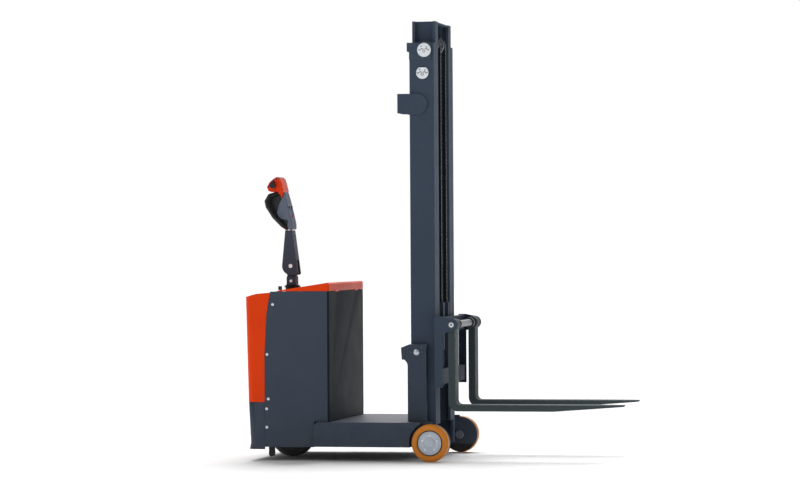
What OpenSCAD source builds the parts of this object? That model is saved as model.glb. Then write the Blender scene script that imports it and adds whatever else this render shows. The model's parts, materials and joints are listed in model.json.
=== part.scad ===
// Walkie stacker: a pedestrian lift truck with a two-stage chain mast and two forks.
// Millimetres, +Z up, forks towards +X, origin on the floor under the middle of the length.

/* [Plan] */
// Tail to the steering axis
rear_overhang = 146; // [130:1:220]
// Steering axis to the load-wheel axle
wheelbase = 760; // [740:1:1000]
// Load-wheel axle to the rear face of the fork shanks
load_gap = 70; // [66:1:90]
// Fork length in front of the shanks
fork_l = 802; // [600:1:1200]
// Width over the load wheels
track_w = 820; // [740:1:1000]
// Width of the body covers
body_w = 752; // [680:1:780]
// Length of the side panels along their foot
panel_l = 306; // [300:1:420]

/* [Heights] */
// Floor to the chassis side beams
beam_z = 69; // [50:1:75]
// Height of the deck over the floor
deck_z = 186; // [184:1:220]
// Height of the top of the side panels
body_z = 807; // [760:1:960]
// Height of the outer mast
mast_h = 1988; // [1960:1:2400]
// How far the inner mast stands above its lowest place
raised = 100; // [60:1:140]
// Underside of the fork blades with the mast at that height
fork_z = 235; // [225:1:260]

/* [Mast] */
// Width over the outer mast channels
mast_w = 470; // [450:1:500]
// Depth of the mast channels
mast_d = 119; // [110:1:130]
// Thickness of the channel flanges
flange_t = 14; // [10:1:16]
// Thickness of the channel webs
web_t = 12; // [8:1:14]
// Lift cylinder's outer diameter
barrel_d = 60; // [52:1:70]
// Piston rod's diameter
piston_rod_d = 36; // [30:1:40]
// Chain wheel's pitch diameter
sheave_d = 72; // [64:1:84]

/* [Wheels] */
// Load wheel diameter
wheel_d = 180; // [150:1:186]
// Load wheel width
wheel_t = 56; // [50:1:60]
// Load wheel hub diameter
hub_d = 122; // [100:1:130]
// Load wheel axle diameter
axle_d = 30; // [24:1:36]
// Drive wheel diameter
drive_d = 210; // [190:1:216]
// Drive wheel width
drive_t = 75; // [60:1:80]

/* [Forks] */
// Width of each fork
fork_w = 80; // [70:1:100]
// Thickness of the fork blades
fork_t = 32; // [25:1:35]
// Thickness of the fork shanks
shank_t = 35; // [30:1:40]
// Fork shaft diameter
shaft_d = 34; // [30:1:38]

/* [Tiller] */
// Height of the tiller's pivot
tiller_z = 926; // [915:1:960]
// Tiller pivot pin diameter
tiller_pin_d = 16; // [12:1:20]

/* [Fits] */
// Radial clearance of a running fit
run_gap = 0.05; // [0.02:0.01:0.10]
// Space between neighbouring covers
seam = 1; // [0.5:0.5:3]
// Space between parts that slide past each other
slide_gap = 0.4; // [0.3:0.1:1]

/* [Hidden] */
$fn = 48;

paint = [0.25, 0.28, 0.33];
orange = [0.91, 0.33, 0.12];
black = [0.09, 0.10, 0.12];
steel = [0.75, 0.77, 0.80];
white = [0.92, 0.93, 0.94];
urethane = [0.82, 0.50, 0.16];
fork_paint = [0.28, 0.31, 0.32];
head_grey = [0.45, 0.49, 0.55];

// Places along X
length = rear_overhang + wheelbase + load_gap + shank_t + fork_l;
tail_x = -length / 2;
steer_x = tail_x + rear_overhang;
axle_x = steer_x + wheelbase;
shank_x = axle_x + load_gap;
tip_x = shank_x + shank_t + fork_l;

// Body
half_w = body_w / 2;
skin = 4;
body_foot_z = 66;
panel_rear_x = tail_x + 100;
panel_front_x = panel_rear_x + panel_l;
panel_lean = 29;
cover_depth = 9;
cover_front_x = panel_front_x + cover_depth;
corner_r = 8;
tail_r = 40;
tail_lean = 12;
skirt_top_z = 280;
skirt_foot_z = 55;
cover_tail_z = body_z - 26;
cover_peak_z = body_z - 5;
lid_tip_x = steer_x + 12;
lid_z0 = body_z + seam;
lid_front_z = body_z + 40;
rail_y1 = half_w - 64;
rail_y = rail_y1 - 16;
foot_x = steer_x - 24;
foot_y = rail_y1 + 16;
lid_hinge_z = body_z + seam / 2;
lid_hinge_d = 8;

// Chassis beams and the load wheels they carry
wheel_y1 = track_w / 2;
wheel_y0 = wheel_y1 - wheel_t;
axle_z = wheel_d / 2;
beam_y1 = wheel_y1 - 15;
beam_y0 = wheel_y0 - 16;
guard_y1 = wheel_y0 - 4;
beam_rear_x = axle_x - 564;
guard_r = axle_z - 2;
guard_low_z = 44;
wheel_space = 11;

// Mast sections
mast_front_x = axle_x - 3;
mast_rear_x = mast_front_x - mast_d;
outer_y1 = mast_w / 2;
outer_y0 = outer_y1 - 42;
inner_y1 = outer_y0 - 3;
inner_y0 = inner_y1 - 60;
inner_web_y1 = inner_y1 - 26;
inner_web_y0 = inner_web_y1 - web_t;
mast_foot_z = 62;
inner_top_z = mast_h + 5 + raised;
inner_foot_z = 70 + raised;
inner_rear_x = mast_rear_x + 5;
groove_front_x = mast_front_x - flange_t;
inner_groove_rear_x = inner_rear_x + flange_t;
outer_groove_rear_x = mast_rear_x + flange_t;

// Rollers in the grooves
inner_roller_r = (groove_front_x - inner_groove_rear_x) / 2 - slide_gap;
inner_roller_x = (groove_front_x + inner_groove_rear_x) / 2;
outer_roller_r = (groove_front_x - outer_groove_rear_x) / 2 - slide_gap;
outer_roller_x = (groove_front_x + outer_groove_rear_x) / 2;
stub_d = 24;
cap_shift = 12;
top_cap_d = 66;
low_cap_d = 60;
top_roller_z = mast_h - 36;
pad_z = mast_h - 143;
pad_x = inner_roller_x + 2;
foot_roller_z = inner_foot_z + 55;
upper_roller_z = fork_z + 375;
lower_roller_z = fork_z + 160;

// Lift cylinder, chains and chain wheels
ram_x = mast_front_x - 92;
barrel_z0 = 110;
barrel_z1 = mast_h - 268;
barrel_wall = 6;
tie_z0 = mast_h - 341;
tie_z1 = mast_h - 243;
chain_y = 60;
chain_w = 16;
chain_t = 18;
sheave_z = inner_top_z - 103;
sheave_r = sheave_d / 2;
sheave_x = mast_front_x - 45;
sheave_axle_d = 24;
front_chain_x = sheave_x + sheave_r;
rear_chain_x = sheave_x - sheave_r;
anchor_z0 = fork_z + 285;
anchor_z1 = fork_z + 513;
anchor_wall = 6;
chain_space = 2;
rear_anchor_z = deck_z + 144;
top_tie_z = inner_top_z - 56;

// Carriage and forks
arm_y1 = wheel_y0 - 50;
arm_y0 = arm_y1 - 8;
fork_y1 = arm_y0 - 2;
fork_y0 = fork_y1 - fork_w;
carriage_z0 = fork_z + 113;
carriage_z1 = fork_z + 450;
shaft_z = fork_z + 410;
shaft_x = shank_x + shank_t / 2;
arm_r = 31;
cheek_y1 = inner_y0 - 6;
cheek_y0 = cheek_y1 - 18;
bar_x0 = axle_x + 12;
bar_x1 = axle_x + 38;

// Tiller
boot_r = 41;
boot_z0 = body_z + 15;
boot_z1 = boot_z0 + 13;
neck_r = 23;
neck_y = 27;
neck_z1 = boot_z1 + 39;
tongue_y = 17;
tiller_y = 33;
arm_foot_r = 44;
arm_top_z = tiller_z + 174;
column_d = 44;

// ---------- shared shapes ----------

// A block between two corners given as [low, high] pairs
module block(x, y, z) {
  translate([x[0], y[0], z[0]]) cube([x[1] - x[0], y[1] - y[0], z[1] - z[0]]);
}

// The same thing on both sides of the truck
module both_sides() {
  children();
  mirror([0, 1, 0]) children();
}

// The left half is drawn at +Y, the right half at -Y
module right_side() {
  mirror([0, 1, 0]) children();
}

// A round bar along Y
module bar_y(x, z, y, d) {
  translate([x, y[0], z]) rotate([-90, 0, 0]) cylinder(d = d, h = y[1] - y[0]);
}

// A round bar along X
module bar_x(y, z, x, d) {
  translate([x[0], y, z]) rotate([0, 90, 0]) cylinder(d = d, h = x[1] - x[0]);
}

// A round bar along Z
module bar_z(x, y, z, d) {
  translate([x, y, z[0]]) cylinder(d = d, h = z[1] - z[0]);
}

// An outline in the X-Z plane made solid between two Y places
module side_solid(y) {
  translate([0, y[1], 0]) rotate([90, 0, 0]) linear_extrude(y[1] - y[0]) children();
}

// Points of an arc, from angle a0 to a1
function arc(cx, cz, r, a0, a1, steps) =
  [for (i = [0:steps]) [cx + r * cos(a0 + (a1 - a0) * i / steps), cz + r * sin(a0 + (a1 - a0) * i / steps)]];

// A body-wide slab whose upright corners are rounded at the rear (r0) and the front (r1)
module rounded_slab(x0, x1, hw, z, r0, r1) {
  block([x0 + r0, x1 - r1], [-hw, hw], z);
  block([x0, x0 + r0 + 0.5], [r0 - hw, hw - r0], z);
  block([x1 - r1 - 0.5, x1], [r1 - hw, hw - r1], z);
  for (s = [-1, 1]) {
    bar_z(x0 + r0, s * (hw - r0), z, 2 * r0);
    bar_z(x1 - r1, s * (hw - r1), z, 2 * r1);
  }
}

// ---------- chassis ----------

// Side beam with its front end shaped round the load wheel
module side_beam() {
  difference() {
    side_solid([beam_y0, beam_y1]) polygon(concat(
      [[beam_rear_x, beam_z], [axle_x, beam_z]],
      [[axle_x, deck_z], [beam_rear_x + 16, deck_z], [beam_rear_x, deck_z - 16]]));
    bar_y(axle_x, axle_z, [guard_y1, beam_y1 + 1], wheel_d + 2 * wheel_space);
    block([axle_x - 46, axle_x + 1], [guard_y1, beam_y1 + 1], [axle_z, deck_z + 1]);
  }
}

// Plate inside the wheel that carries its axle, round at the front
module wheel_guard() {
  side_solid([beam_y0, guard_y1]) polygon(concat(
    [[axle_x - 130, deck_z], [axle_x - 130, beam_z], [axle_x - 84, beam_z], [axle_x - 62, guard_low_z]],
    arc(axle_x, axle_z, guard_r, -31, 88, 20),
    [[axle_x - 20, deck_z]]));
}

// Square sleeve that holds the end of a chain
module chain_sleeve(x, z) {
  hole_x = chain_t / 2 + chain_space;
  hole_y = chain_w / 2 + chain_space;
  difference() {
    block([x - hole_x - anchor_wall, x + hole_x + anchor_wall],
      [chain_y - hole_y - anchor_wall, chain_y + hole_y + anchor_wall], z);
    block([x - hole_x, x + hole_x], [chain_y - hole_y, chain_y + hole_y], [z[0] - 1, z[1] + 1]);
  }
}

module chassis_frame() color(paint) difference() {
  union() {
    both_sides() {
      side_beam();
      wheel_guard();
      block([tail_x + 56, beam_rear_x + 60], [rail_y, rail_y1], [beam_z + 6, deck_z]);
      block([tail_x + 56, steer_x + 150], [rail_y, rail_y1], [deck_z - 1, deck_z + 62]);
      block([mast_rear_x - 6, axle_x - 34], [outer_y1 + 2, beam_y0 + 1], [deck_z - 12, deck_z]);
    }
    block([steer_x + 120, beam_rear_x + 1], [-rail_y1, rail_y1], [deck_z - 12, deck_z]);
    block([beam_rear_x, mast_rear_x - 5], [-beam_y0 - 1, beam_y0 + 1], [deck_z - 12, deck_z]);
    for (x = [beam_rear_x, mast_rear_x - 35])
      block([x, x + 30], [-beam_y0 - 1, beam_y0 + 1], [beam_z + 6, deck_z]);
    block([mast_rear_x - 10, mast_front_x], [-inner_y0 + 30, inner_y0 - 30], [beam_z + 6, beam_z + 20]);
    both_sides() chain_sleeve(rear_chain_x, [beam_z + 19, rear_anchor_z + 50]);
    block([tail_x + 56, steer_x + 150], [-foot_y - 16, foot_y + 16], [deck_z + 50, deck_z + 62]);
  }
  bar_z(steer_x, 0, [deck_z, deck_z + 80], 180 + 2 * run_gap);
  both_sides() {
    bar_y(axle_x, axle_z, [beam_y0 - 1, guard_y1 + 1], axle_d + 2 * run_gap);
    bar_z(foot_x, foot_y, [beam_z, deck_z + 100], 20 + 2 * run_gap);
  }
}

module front_axles() color(steel) both_sides() difference() {
  union() {
    bar_y(axle_x, axle_z, [beam_y0 - 4, wheel_y1 - 9], axle_d);
    bar_y(axle_x, axle_z, [beam_y0 - 8, beam_y0], axle_d + 12);
  }
  bar_y(axle_x, axle_z, [wheel_y1 - 25, wheel_y1], 8);
}

// Outline of a side panel: its rear edge bows back a little below the top
module panel_outline() {
  polygon(concat(
    [[panel_front_x, body_foot_z], [panel_front_x, body_z]],
    [[panel_rear_x + panel_lean, body_z], [panel_rear_x + 10, body_z - 110], [panel_rear_x, body_z - 300],
      [panel_rear_x, body_foot_z]]));
}

module side_panel() color(paint) difference() {
  side_solid([half_w - skin, half_w]) panel_outline();
  block([beam_rear_x - seam, panel_front_x + 1], [half_w - skin - 1, half_w + 1], [0, deck_z + seam]);
}

module side_panel_left() side_panel();
module side_panel_right() right_side() side_panel();

// Knuckles of the lid's hinge, along the seam between lid and front cover
module lid_knuckles(d) {
  both_sides() bar_y(cover_front_x, lid_hinge_z, [180, 240], d);
}

module front_cover() color(paint) difference() {
  rounded_slab(panel_front_x + seam - 50, cover_front_x, half_w, [deck_z + seam, body_z], 1, corner_r);
  rounded_slab(panel_front_x - 60, cover_front_x - skin, half_w - skin, [0, body_z + 1], 1, corner_r - skin);
  block([panel_front_x - 70, panel_front_x + seam], [-half_w - 1, half_w + 1], [0, body_z + 1]);
  lid_knuckles(lid_hinge_d + 2 * slide_gap);
}

// Everything behind the side panels' rear edge, from the floor up
module behind_panels(gap) {
  side_solid([-half_w - 1, half_w + 1]) polygon([
    [tail_x - 50, 0], [panel_rear_x - gap, 0], [panel_rear_x - gap, body_z - 300],
    [panel_rear_x + 10 - gap, body_z - 110], [panel_rear_x + panel_lean - gap, body_z],
    [panel_rear_x + panel_lean - gap, body_z + 50], [tail_x - 50, body_z + 50]]);
}

// Side profile of the rear cover, grown outwards by inset (negative values shrink it)
module cover_profile(inset) {
  side_solid([-half_w - 2, half_w + 2]) polygon([
    [tail_x - 60, skirt_foot_z - 40], [tail_x - 60, cover_tail_z - 12 - inset],
    [tail_x + 3, cover_tail_z - inset], [tail_x + 60, cover_tail_z + 15 - inset],
    [panel_rear_x + panel_lean, cover_peak_z - inset], [panel_front_x, cover_peak_z - inset],
    [panel_front_x, skirt_foot_z - 40]]);
}

// A body-wide slab with rounded rear corners, whose tail leans from x_low at the foot to x_high at the top
module leaning_slab(x_low, x_high, hw, z, r) hull() {
  for (s = [-1, 1]) {
    bar_z(x_low + r, s * (hw - r), [z[0], z[0] + 0.1], 2 * r);
    bar_z(x_high + r, s * (hw - r), [z[1] - 0.1, z[1]], 2 * r);
  }
  block([steer_x + 199, steer_x + 200], [-hw, hw], z);
}

module rear_cover() color(orange) difference() {
  intersection() {
    leaning_slab(tail_x + tail_lean, tail_x, half_w, [skirt_top_z, body_z], tail_r);
    cover_profile(0);
    union() {
      behind_panels(seam);
      block([tail_x, lid_tip_x + 40], [skin - half_w + seam, half_w - skin - seam],
        [cover_tail_z - 20, body_z]);
    }
  }
  intersection() {
    leaning_slab(tail_x + tail_lean + skin, tail_x + skin, half_w - skin,
      [skirt_top_z, body_z], tail_r - skin);
    cover_profile(skin);
  }
  bar_z(steer_x, 0, [body_z - 60, body_z + 10], 2 * boot_r - 12);
  bar_z(key_x, -key_y, [body_z - 60, body_z + 10], key_d + 2 * run_gap);
}

skirt_low_x = tail_x + 23;
flare = 8;

module rear_skirt() color(paint) difference() {
  intersection() {
    union() {
      leaning_slab(skirt_low_x, tail_x + tail_lean, half_w - 2, [skirt_foot_z, skirt_top_z - seam], tail_r);
      leaning_slab(skirt_low_x - flare, skirt_low_x, half_w - 2, [skirt_foot_z, skirt_foot_z + 38], tail_r);
    }
    behind_panels(seam);
  }
  leaning_slab(skirt_low_x + skin, tail_x + tail_lean + skin, half_w - 2 - skin,
    [skirt_foot_z - 1, skirt_top_z], tail_r - skin);
}

// Cover screws: places as [x from the panels' rear edge, height]
screw_d = 14;
screw_places = [[41, body_z - 62], [12, body_z - 300], [17, skirt_top_z + 15], [9, skirt_top_z - 32],
  [9, skirt_top_z - 120]];

module cover_screws() color(white) both_sides() for (p = screw_places) {
  bar_y(panel_rear_x + p[0], p[1], [half_w, half_w + 3], screw_d);
}

// ---------- inside the body ----------

battery_x0 = steer_x + 152;
battery_x1 = cover_front_x - skin - 8;
battery_y = half_w - 40;
battery_h = 420;

module battery() color(black) {
  block([battery_x0, battery_x1], [-battery_y, battery_y], [deck_z, deck_z + battery_h]);
  for (y = [-battery_y + 60, battery_y - 60]) {
    bar_z((battery_x0 + battery_x1) / 2, y, [deck_z + battery_h, deck_z + battery_h + 22], 24);
  }
}

module power_pack() color(steel) {
  pack_y = rail_y - 60;
  bar_z(steer_x - 10, pack_y, [deck_z + 62, deck_z + 240], 104);
  bar_z(steer_x - 10, pack_y, [deck_z + 240, deck_z + 290], 70);
  block([steer_x - 62, steer_x + 42], [pack_y - 52, pack_y + 52], [deck_z + 290, deck_z + 450]);
}

module controller() color(black) {
  block([battery_x0 + 10, battery_x1 - 10], [-battery_y + 120, -40],
    [deck_z + battery_h, deck_z + battery_h + 70]);
  for (i = [0:5]) {
    block([battery_x0 + 16, battery_x1 - 16], [-battery_y + 126 + i * 22, -battery_y + 134 + i * 22],
      [deck_z + battery_h + 69, deck_z + battery_h + 90]);
  }
}

module charger() color(steel) {
  block([battery_x0 + 10, battery_x1 - 10], [20, battery_y - 100],
    [deck_z + battery_h, deck_z + battery_h + 100]);
}

key_x = steer_x - 32;
key_y = 120;
key_d = 20;

module key_switch() color(black) difference() {
  union() {
    bar_z(key_x, -key_y, [body_z - 66, body_z], key_d);
    bar_z(key_x, -key_y, [body_z - 4, body_z], key_d + 6);
  }
  bar_z(key_x, -key_y, [body_z - 20, body_z + 1], 8 + 2 * run_gap);
}

module key() color(black) {
  bar_z(key_x, -key_y, [body_z - 18, body_z + 6], 8);
  block([key_x - 9, key_x + 9], [-key_y - 1.5, -key_y + 1.5], [body_z + 4, body_z + 22]);
}

module lid_outline(drop) {
  polygon([[lid_tip_x, lid_z0 - 1 + 3 - drop], [panel_front_x - 14, lid_front_z - 2 - drop],
    [cover_front_x - 8, lid_front_z + 1 - drop], [cover_front_x, lid_front_z - 6 - drop],
    [cover_front_x, lid_z0 - drop - 1], [lid_tip_x, lid_z0 - drop - 1]]);
}

module top_lid() color(orange) difference() {
  union() {
    intersection() {
      rounded_slab(lid_tip_x - 10, cover_front_x, half_w, [lid_z0, lid_front_z + 10], 20, corner_r);
      side_solid([-half_w - 1, half_w + 1]) lid_outline(0);
    }
    lid_knuckles(lid_hinge_d);
  }
  intersection() {
    rounded_slab(lid_tip_x + 30, cover_front_x - skin, half_w - skin,
      [0, lid_front_z + 10], 20, corner_r - skin);
    side_solid([-half_w - 1, half_w + 1]) lid_outline(skin);
  }
  bar_z(steer_x, 0, [lid_z0 - 1, lid_front_z + 20], 2 * boot_r + 8);
}

// ---------- steering and drive ----------

module gearbox() color(paint) difference() {
  union() {
    bar_z(steer_x, 0, [deck_z + 44, deck_z + 70], 180);
    bar_z(steer_x, 0, [drive_d + 8, deck_z + 62], 150);
    block([steer_x - 55, steer_x + 55], [drive_t / 2 + 6, drive_t / 2 + 66], [70, deck_z + 46]);
    bar_y(steer_x, drive_d / 2, [drive_t / 2 + 6, drive_t / 2 + 66], 120);
    bar_y(steer_x, drive_d / 2, [-drive_t / 2 + 4, drive_t / 2 + 10], 40);
  }
  bar_z(steer_x, 0, [deck_z + 62, deck_z + 80], 110 + 2 * run_gap);
}

module traction_motor() color(steel) {
  bar_z(steer_x, 0, [deck_z + 62, deck_z + 70], 110);
  bar_z(steer_x, 0, [deck_z + 70, deck_z + 270], 150);
  bar_z(steer_x, 0, [deck_z + 270, deck_z + 286], 120);
}

module drive_tyre() color(black) difference() {
  bar_y(steer_x, drive_d / 2, [-drive_t / 2, drive_t / 2], drive_d);
  bar_y(steer_x, drive_d / 2, [-drive_t / 2 - 1, drive_t / 2 + 1], drive_d - 50);
}

module drive_hub() color(steel) difference() {
  bar_y(steer_x, drive_d / 2, [-drive_t / 2 + 3, drive_t / 2 - 3], drive_d - 50);
  bar_y(steer_x, drive_d / 2, [-drive_t / 2 - 1, drive_t / 2 + 1], 40 + 2 * run_gap);
}

module tiller_base() color(paint) difference() {
  union() {
    bar_z(steer_x, 0, [deck_z + 286, boot_z1 + 1], column_d);
    block([steer_x - neck_r, steer_x + neck_r], [-neck_y, neck_y], [boot_z1, neck_z1]);
    // Boss of the cross bolt that clamps the neck to the steering column
    bar_y(steer_x, neck_z1 - 21, [-neck_y - 3, neck_y + 3], 15);
    side_solid([-tongue_y, tongue_y]) polygon(concat(
      [[steer_x - neck_r + 1, neck_z1 - 1], [steer_x + neck_r - 1, neck_z1 - 1]],
      arc(steer_x, tiller_z, 24, 0, 180, 16)));
  }
  bar_y(steer_x, tiller_z, [-tongue_y - 1, tongue_y + 1], tiller_pin_d + 2 * run_gap);
}

module tiller_boot() color(black) difference() {
  union() {
    bar_z(steer_x, 0, [boot_z0, boot_z1], 2 * boot_r);
    bar_z(steer_x, 0, [body_z - 40, boot_z0 + 1], 2 * boot_r - 14);
  }
  bar_z(steer_x, 0, [body_z - 41, boot_z1 + 1], column_d + 2 * run_gap);
}

module stabiliser_feet() color(black) both_sides() {
  bar_z(foot_x, foot_y, [beam_z - 8, deck_z + 61], 20);
  side_solid([foot_y - 13, foot_y + 13]) polygon(concat(
    [[foot_x + 13, beam_z - 4], [foot_x - 13, beam_z - 4]],
    arc(foot_x, 31, 13, 180, 360, 12)));
}

// ---------- tiller ----------

// Side outline of the arm: widest by the pivot, its lower rear corner round so that it clears the neck
module arm_outline() {
  polygon(concat(
    arc(steer_x, tiller_z, arm_foot_r, 180, 250, 12),
    [[steer_x + 28, tiller_z - arm_foot_r], [steer_x + 36, tiller_z - arm_foot_r + 6],
      [steer_x + 8, arm_top_z], [steer_x - 27, arm_top_z]]));
}

module tiller_arm() color(paint) difference() {
  side_solid([-tiller_y, tiller_y]) arm_outline();
  block([steer_x - 60, steer_x + 60], [-tongue_y - slide_gap, tongue_y + slide_gap],
    [tiller_z - 60, tiller_z + 30]);
  block([steer_x - 20, steer_x + 4], [-tiller_y + 6, tiller_y - 6], [tiller_z + 60, arm_top_z + 1]);
  bar_y(steer_x, tiller_z, [-tiller_y - 1, tiller_y + 1], tiller_pin_d + 2 * run_gap);
}

module tiller_pin() color(white) {
  bar_y(steer_x, tiller_z, [-tiller_y - 4, tiller_y + 4], tiller_pin_d);
  both_sides() bar_y(steer_x, tiller_z, [tiller_y, tiller_y + 5], tiller_pin_d + 4);
}

// The head leans back. A point of its side view, from the steering axis and the tiller's pivot
function head(x, z) = [steer_x + x, tiller_z + z];

head_y = 48;
core_y = 38;
cap_y = 52;
// Rear edge of the grey housing, which the black grip moulding meets
cheek_edge = [head(-20, 177), head(-9, 221), head(-49, 232), head(-66, 258), head(-53, 306), head(-40, 326)];
// Lower edge of the coloured cap, where it sits on the housing and the moulding
cap_edge = [head(-40, 327), head(-28, 364)];
cap_top = [head(-37, 400), head(-46, 426), head(-54, 433), head(-64, 433), head(-80, 424), head(-99, 408),
  head(-112, 385), head(-106, 367), head(-92, 361), head(-62, 358)];
throttle_x = steer_x - 79;
throttle_z = tiller_z + 391;
throttle_d = 16;
throttle_hole_d = 22;
button_d = 16;
button_z = 286;
button_face = 4;
horn_z = 240;
belly_dir = [0.4472, -0.8944];
belly_t = 6.5;
belly_room = 3.5;

module tiller_head() color(head_grey) difference() {
  side_solid([-head_y, head_y]) polygon(concat(
    [head(-28, 363), head(-14, 315), head(7, 227), head(12, 202), head(12, 177)], cheek_edge));
  for (y = [-22, 22]) button_bore(y, button_z);
  button_bore(0, horn_z);
}

// Outline of the cap with the strip that the reversing button takes
module cap_outline() {
  polygon(concat(cap_top, [head(-44, 345)], cap_edge));
}

// Strip along the top of the cap, depth thick, its ends let out by margin
module cap_strip(depth, margin) {
  intersection() {
    difference() {
      polygon(cap_top);
      translate(depth * belly_dir) polygon(cap_top);
    }
    polygon([head(margin - 50, 440), head(-140, 440), head(-140, 376 - margin), head(-60, 376 - margin),
      head(margin - 50, 415 - margin)]);
  }
}

module throttle_space() {
  bar_y(throttle_x, throttle_z, [-cap_y - 1, cap_y + 1], throttle_hole_d);
}

// Coloured cap over the top of the head, round the throttle shaft
module head_cap() color(orange) difference() {
  side_solid([-cap_y, cap_y]) cap_outline();
  throttle_space();
  side_solid([-cap_y - 1, cap_y + 1]) cap_strip(belly_t + belly_room, belly_room);
}

// Reversing button along the tip of the head, which the driver's body pushes in
module belly_button() color([0.80, 0.12, 0.14]) side_solid([-cap_y, cap_y]) cap_strip(belly_t, 0);

// Points of a hand guard: distance behind the steering axis, place to the side, height
guard_path = [[-64, 50, 352], [-94, 70, 342], [-108, 78, 315], [-103, 78, 290], [-72, 74, 240],
  [-34, 60, 198], [-16, 42, 184]];
guard_d = 20;

module guard_bar(p, q) {
  hull() {
    translate([steer_x + p[0], p[1], tiller_z + p[2]]) sphere(d = guard_d, $fn = 20);
    translate([steer_x + q[0], q[1], tiller_z + q[2]]) sphere(d = guard_d, $fn = 20);
  }
}

// Black moulding behind the housing, with a guard round the knuckles on each side
module hand_guard() color(black) {
  side_solid([-core_y, core_y]) polygon(concat(cheek_edge, [head(-45, 344), head(-62, 357),
    head(-100, 346), head(-110, 315), head(-105, 290), head(-76, 240), head(-36, 199), head(-27, 177)]));
  both_sides() for (i = [0:len(guard_path) - 2]) guard_bar(guard_path[i], guard_path[i + 1]);
}

// Twist knobs on both ends of the throttle shaft
module throttle() color(black) {
  bar_y(throttle_x, throttle_z, [-cap_y - 8, cap_y + 8], throttle_d);
  both_sides() side_solid([cap_y + 2, cap_y + 30]) polygon(concat(
    arc(throttle_x, throttle_z, 13, 120, 420, 20),
    arc(throttle_x + 4, throttle_z + 18, 5, 60, 120, 4)));
}

// Face of the housing at a height over the pivot
function face_x(z) = steer_x + 7 - 21 * (z - 227) / 88;

module push_button(y, z) {
  bar_x(y, tiller_z + z, [face_x(z) - 18, face_x(z) + button_face], button_d);
}

module button_bore(y, z) {
  bar_x(y, tiller_z + z, [face_x(z) - 24, face_x(z) + 20], button_d + 2 * slide_gap);
}

module lift_button() color(black) push_button(-22, button_z);
module lower_button() color(black) push_button(22, button_z);
module horn_button() color(orange) push_button(0, horn_z);

// ---------- load wheels ----------

module tyre() color(urethane) difference() {
  union() {
    bar_y(axle_x, axle_z, [wheel_y0, wheel_y1 - 5], wheel_d);
    bar_y(axle_x, axle_z, [wheel_y1 - 6, wheel_y1], wheel_d - 12);
  }
  bar_y(axle_x, axle_z, [wheel_y0 - 1, wheel_y1 + 1], hub_d);
}

module hub() color(steel) difference() {
  bar_y(axle_x, axle_z, [wheel_y0 + 3, wheel_y1 - 2], hub_d);
  bar_y(axle_x, axle_z, [wheel_y0, wheel_y1 - 8], axle_d + 2 * run_gap);
}

module tyre_left() tyre();
module tyre_right() right_side() tyre();
module hub_left() hub();
module hub_right() right_side() hub();

// ---------- mast ----------

// Plate on top of the outer mast with a lug at its rear
module top_bracket() {
  side_solid([outer_y1, outer_y1 + 8]) polygon([
    [mast_rear_x, mast_h - 80], [mast_front_x - 14, mast_h - 80], [mast_front_x - 14, mast_h],
    [mast_rear_x - 11, mast_h], [mast_rear_x - 11, mast_h - 42], [mast_rear_x, mast_h - 46]]);
}

module outer_mast() color(paint) difference() {
  union() {
    block([mast_rear_x, mast_front_x], [outer_y1 - web_t, outer_y1], [mast_foot_z, mast_h]);
    block([mast_front_x - flange_t, mast_front_x], [outer_y0, outer_y1], [mast_foot_z, mast_h]);
    block([mast_rear_x, mast_rear_x + flange_t], [outer_y0, outer_y1], [mast_foot_z, mast_h]);
    top_bracket();
  }
  bar_y(inner_roller_x, top_roller_z, [outer_y1 - web_t - 1, outer_y1 + 9], stub_d + 2 * run_gap);
  bar_y(pad_x, pad_z, [outer_y1 - web_t - 1, outer_y1 + 9], stub_d + 2 * run_gap);
}

module outer_mast_left() outer_mast();
module outer_mast_right() right_side() outer_mast();

// Round plates that hold the roller stub and the side pad, each with its pin
module roller_caps() color(white) both_sides() {
  bar_y(inner_roller_x + cap_shift, top_roller_z, [outer_y1 + 8, outer_y1 + 14], top_cap_d);
  bar_y(inner_roller_x, top_roller_z, [inner_web_y1 + 2, outer_y1 + 9], stub_d);
  difference() {
    bar_y(pad_x, pad_z, [outer_y1, outer_y1 + 7], low_cap_d);
    block([pad_x - 40, pad_x + 40], [outer_y1 - 1, outer_y1 + 8], [pad_z + 25, pad_z + 40]);
  }
  bar_y(pad_x, pad_z, [outer_y1 - web_t - 6, outer_y1 + 1], stub_d);
}

module outer_rollers() color(steel) both_sides() difference() {
  bar_y(inner_roller_x, top_roller_z, [inner_web_y1 + 3, inner_y1 - 2], 2 * inner_roller_r);
  bar_y(inner_roller_x, top_roller_z, [inner_web_y1, inner_y1], stub_d + 2 * run_gap);
}

module upper_tie() color(paint) {
  both_sides() {
    side_solid([outer_y1, outer_y1 + 10]) polygon(concat(
      [[mast_rear_x - 58, tie_z1], [mast_rear_x - 58, tie_z0 + 6], [mast_rear_x - 30, tie_z0]],
      arc(mast_front_x - 82, tie_z0 + 49, 49, -90, 90, 16)));
  }
  block([mast_rear_x - 58, mast_rear_x - 28], [-outer_y1 - 5, outer_y1 + 5], [tie_z0 + 8, tie_z1 - 2]);
  difference() {
    block([mast_rear_x - 30, ram_x + 36], [-40, 40], [tie_z0 + 30, tie_z0 + 60]);
    bar_z(ram_x, 0, [tie_z0, tie_z1], barrel_d + 2 * run_gap);
  }
}

// Post that carries the mast on the deck, with its clamping head
module mast_post() color(paint) side_solid([outer_y1 + 0.2, outer_y1 + 30]) polygon(concat(
  [[axle_x - 42, deck_z], [axle_x - 42, deck_z + 340], [axle_x - 38, deck_z + 366],
    [axle_x - 126, deck_z + 366], [axle_x - 166, deck_z + 350], [axle_x - 162, deck_z + 292]],
  arc(axle_x - 170, deck_z + 262, 36, 60, 0, 8),
  [[axle_x - 134, deck_z]]));

module mast_post_left() mast_post();
module mast_post_right() right_side() mast_post();

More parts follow.
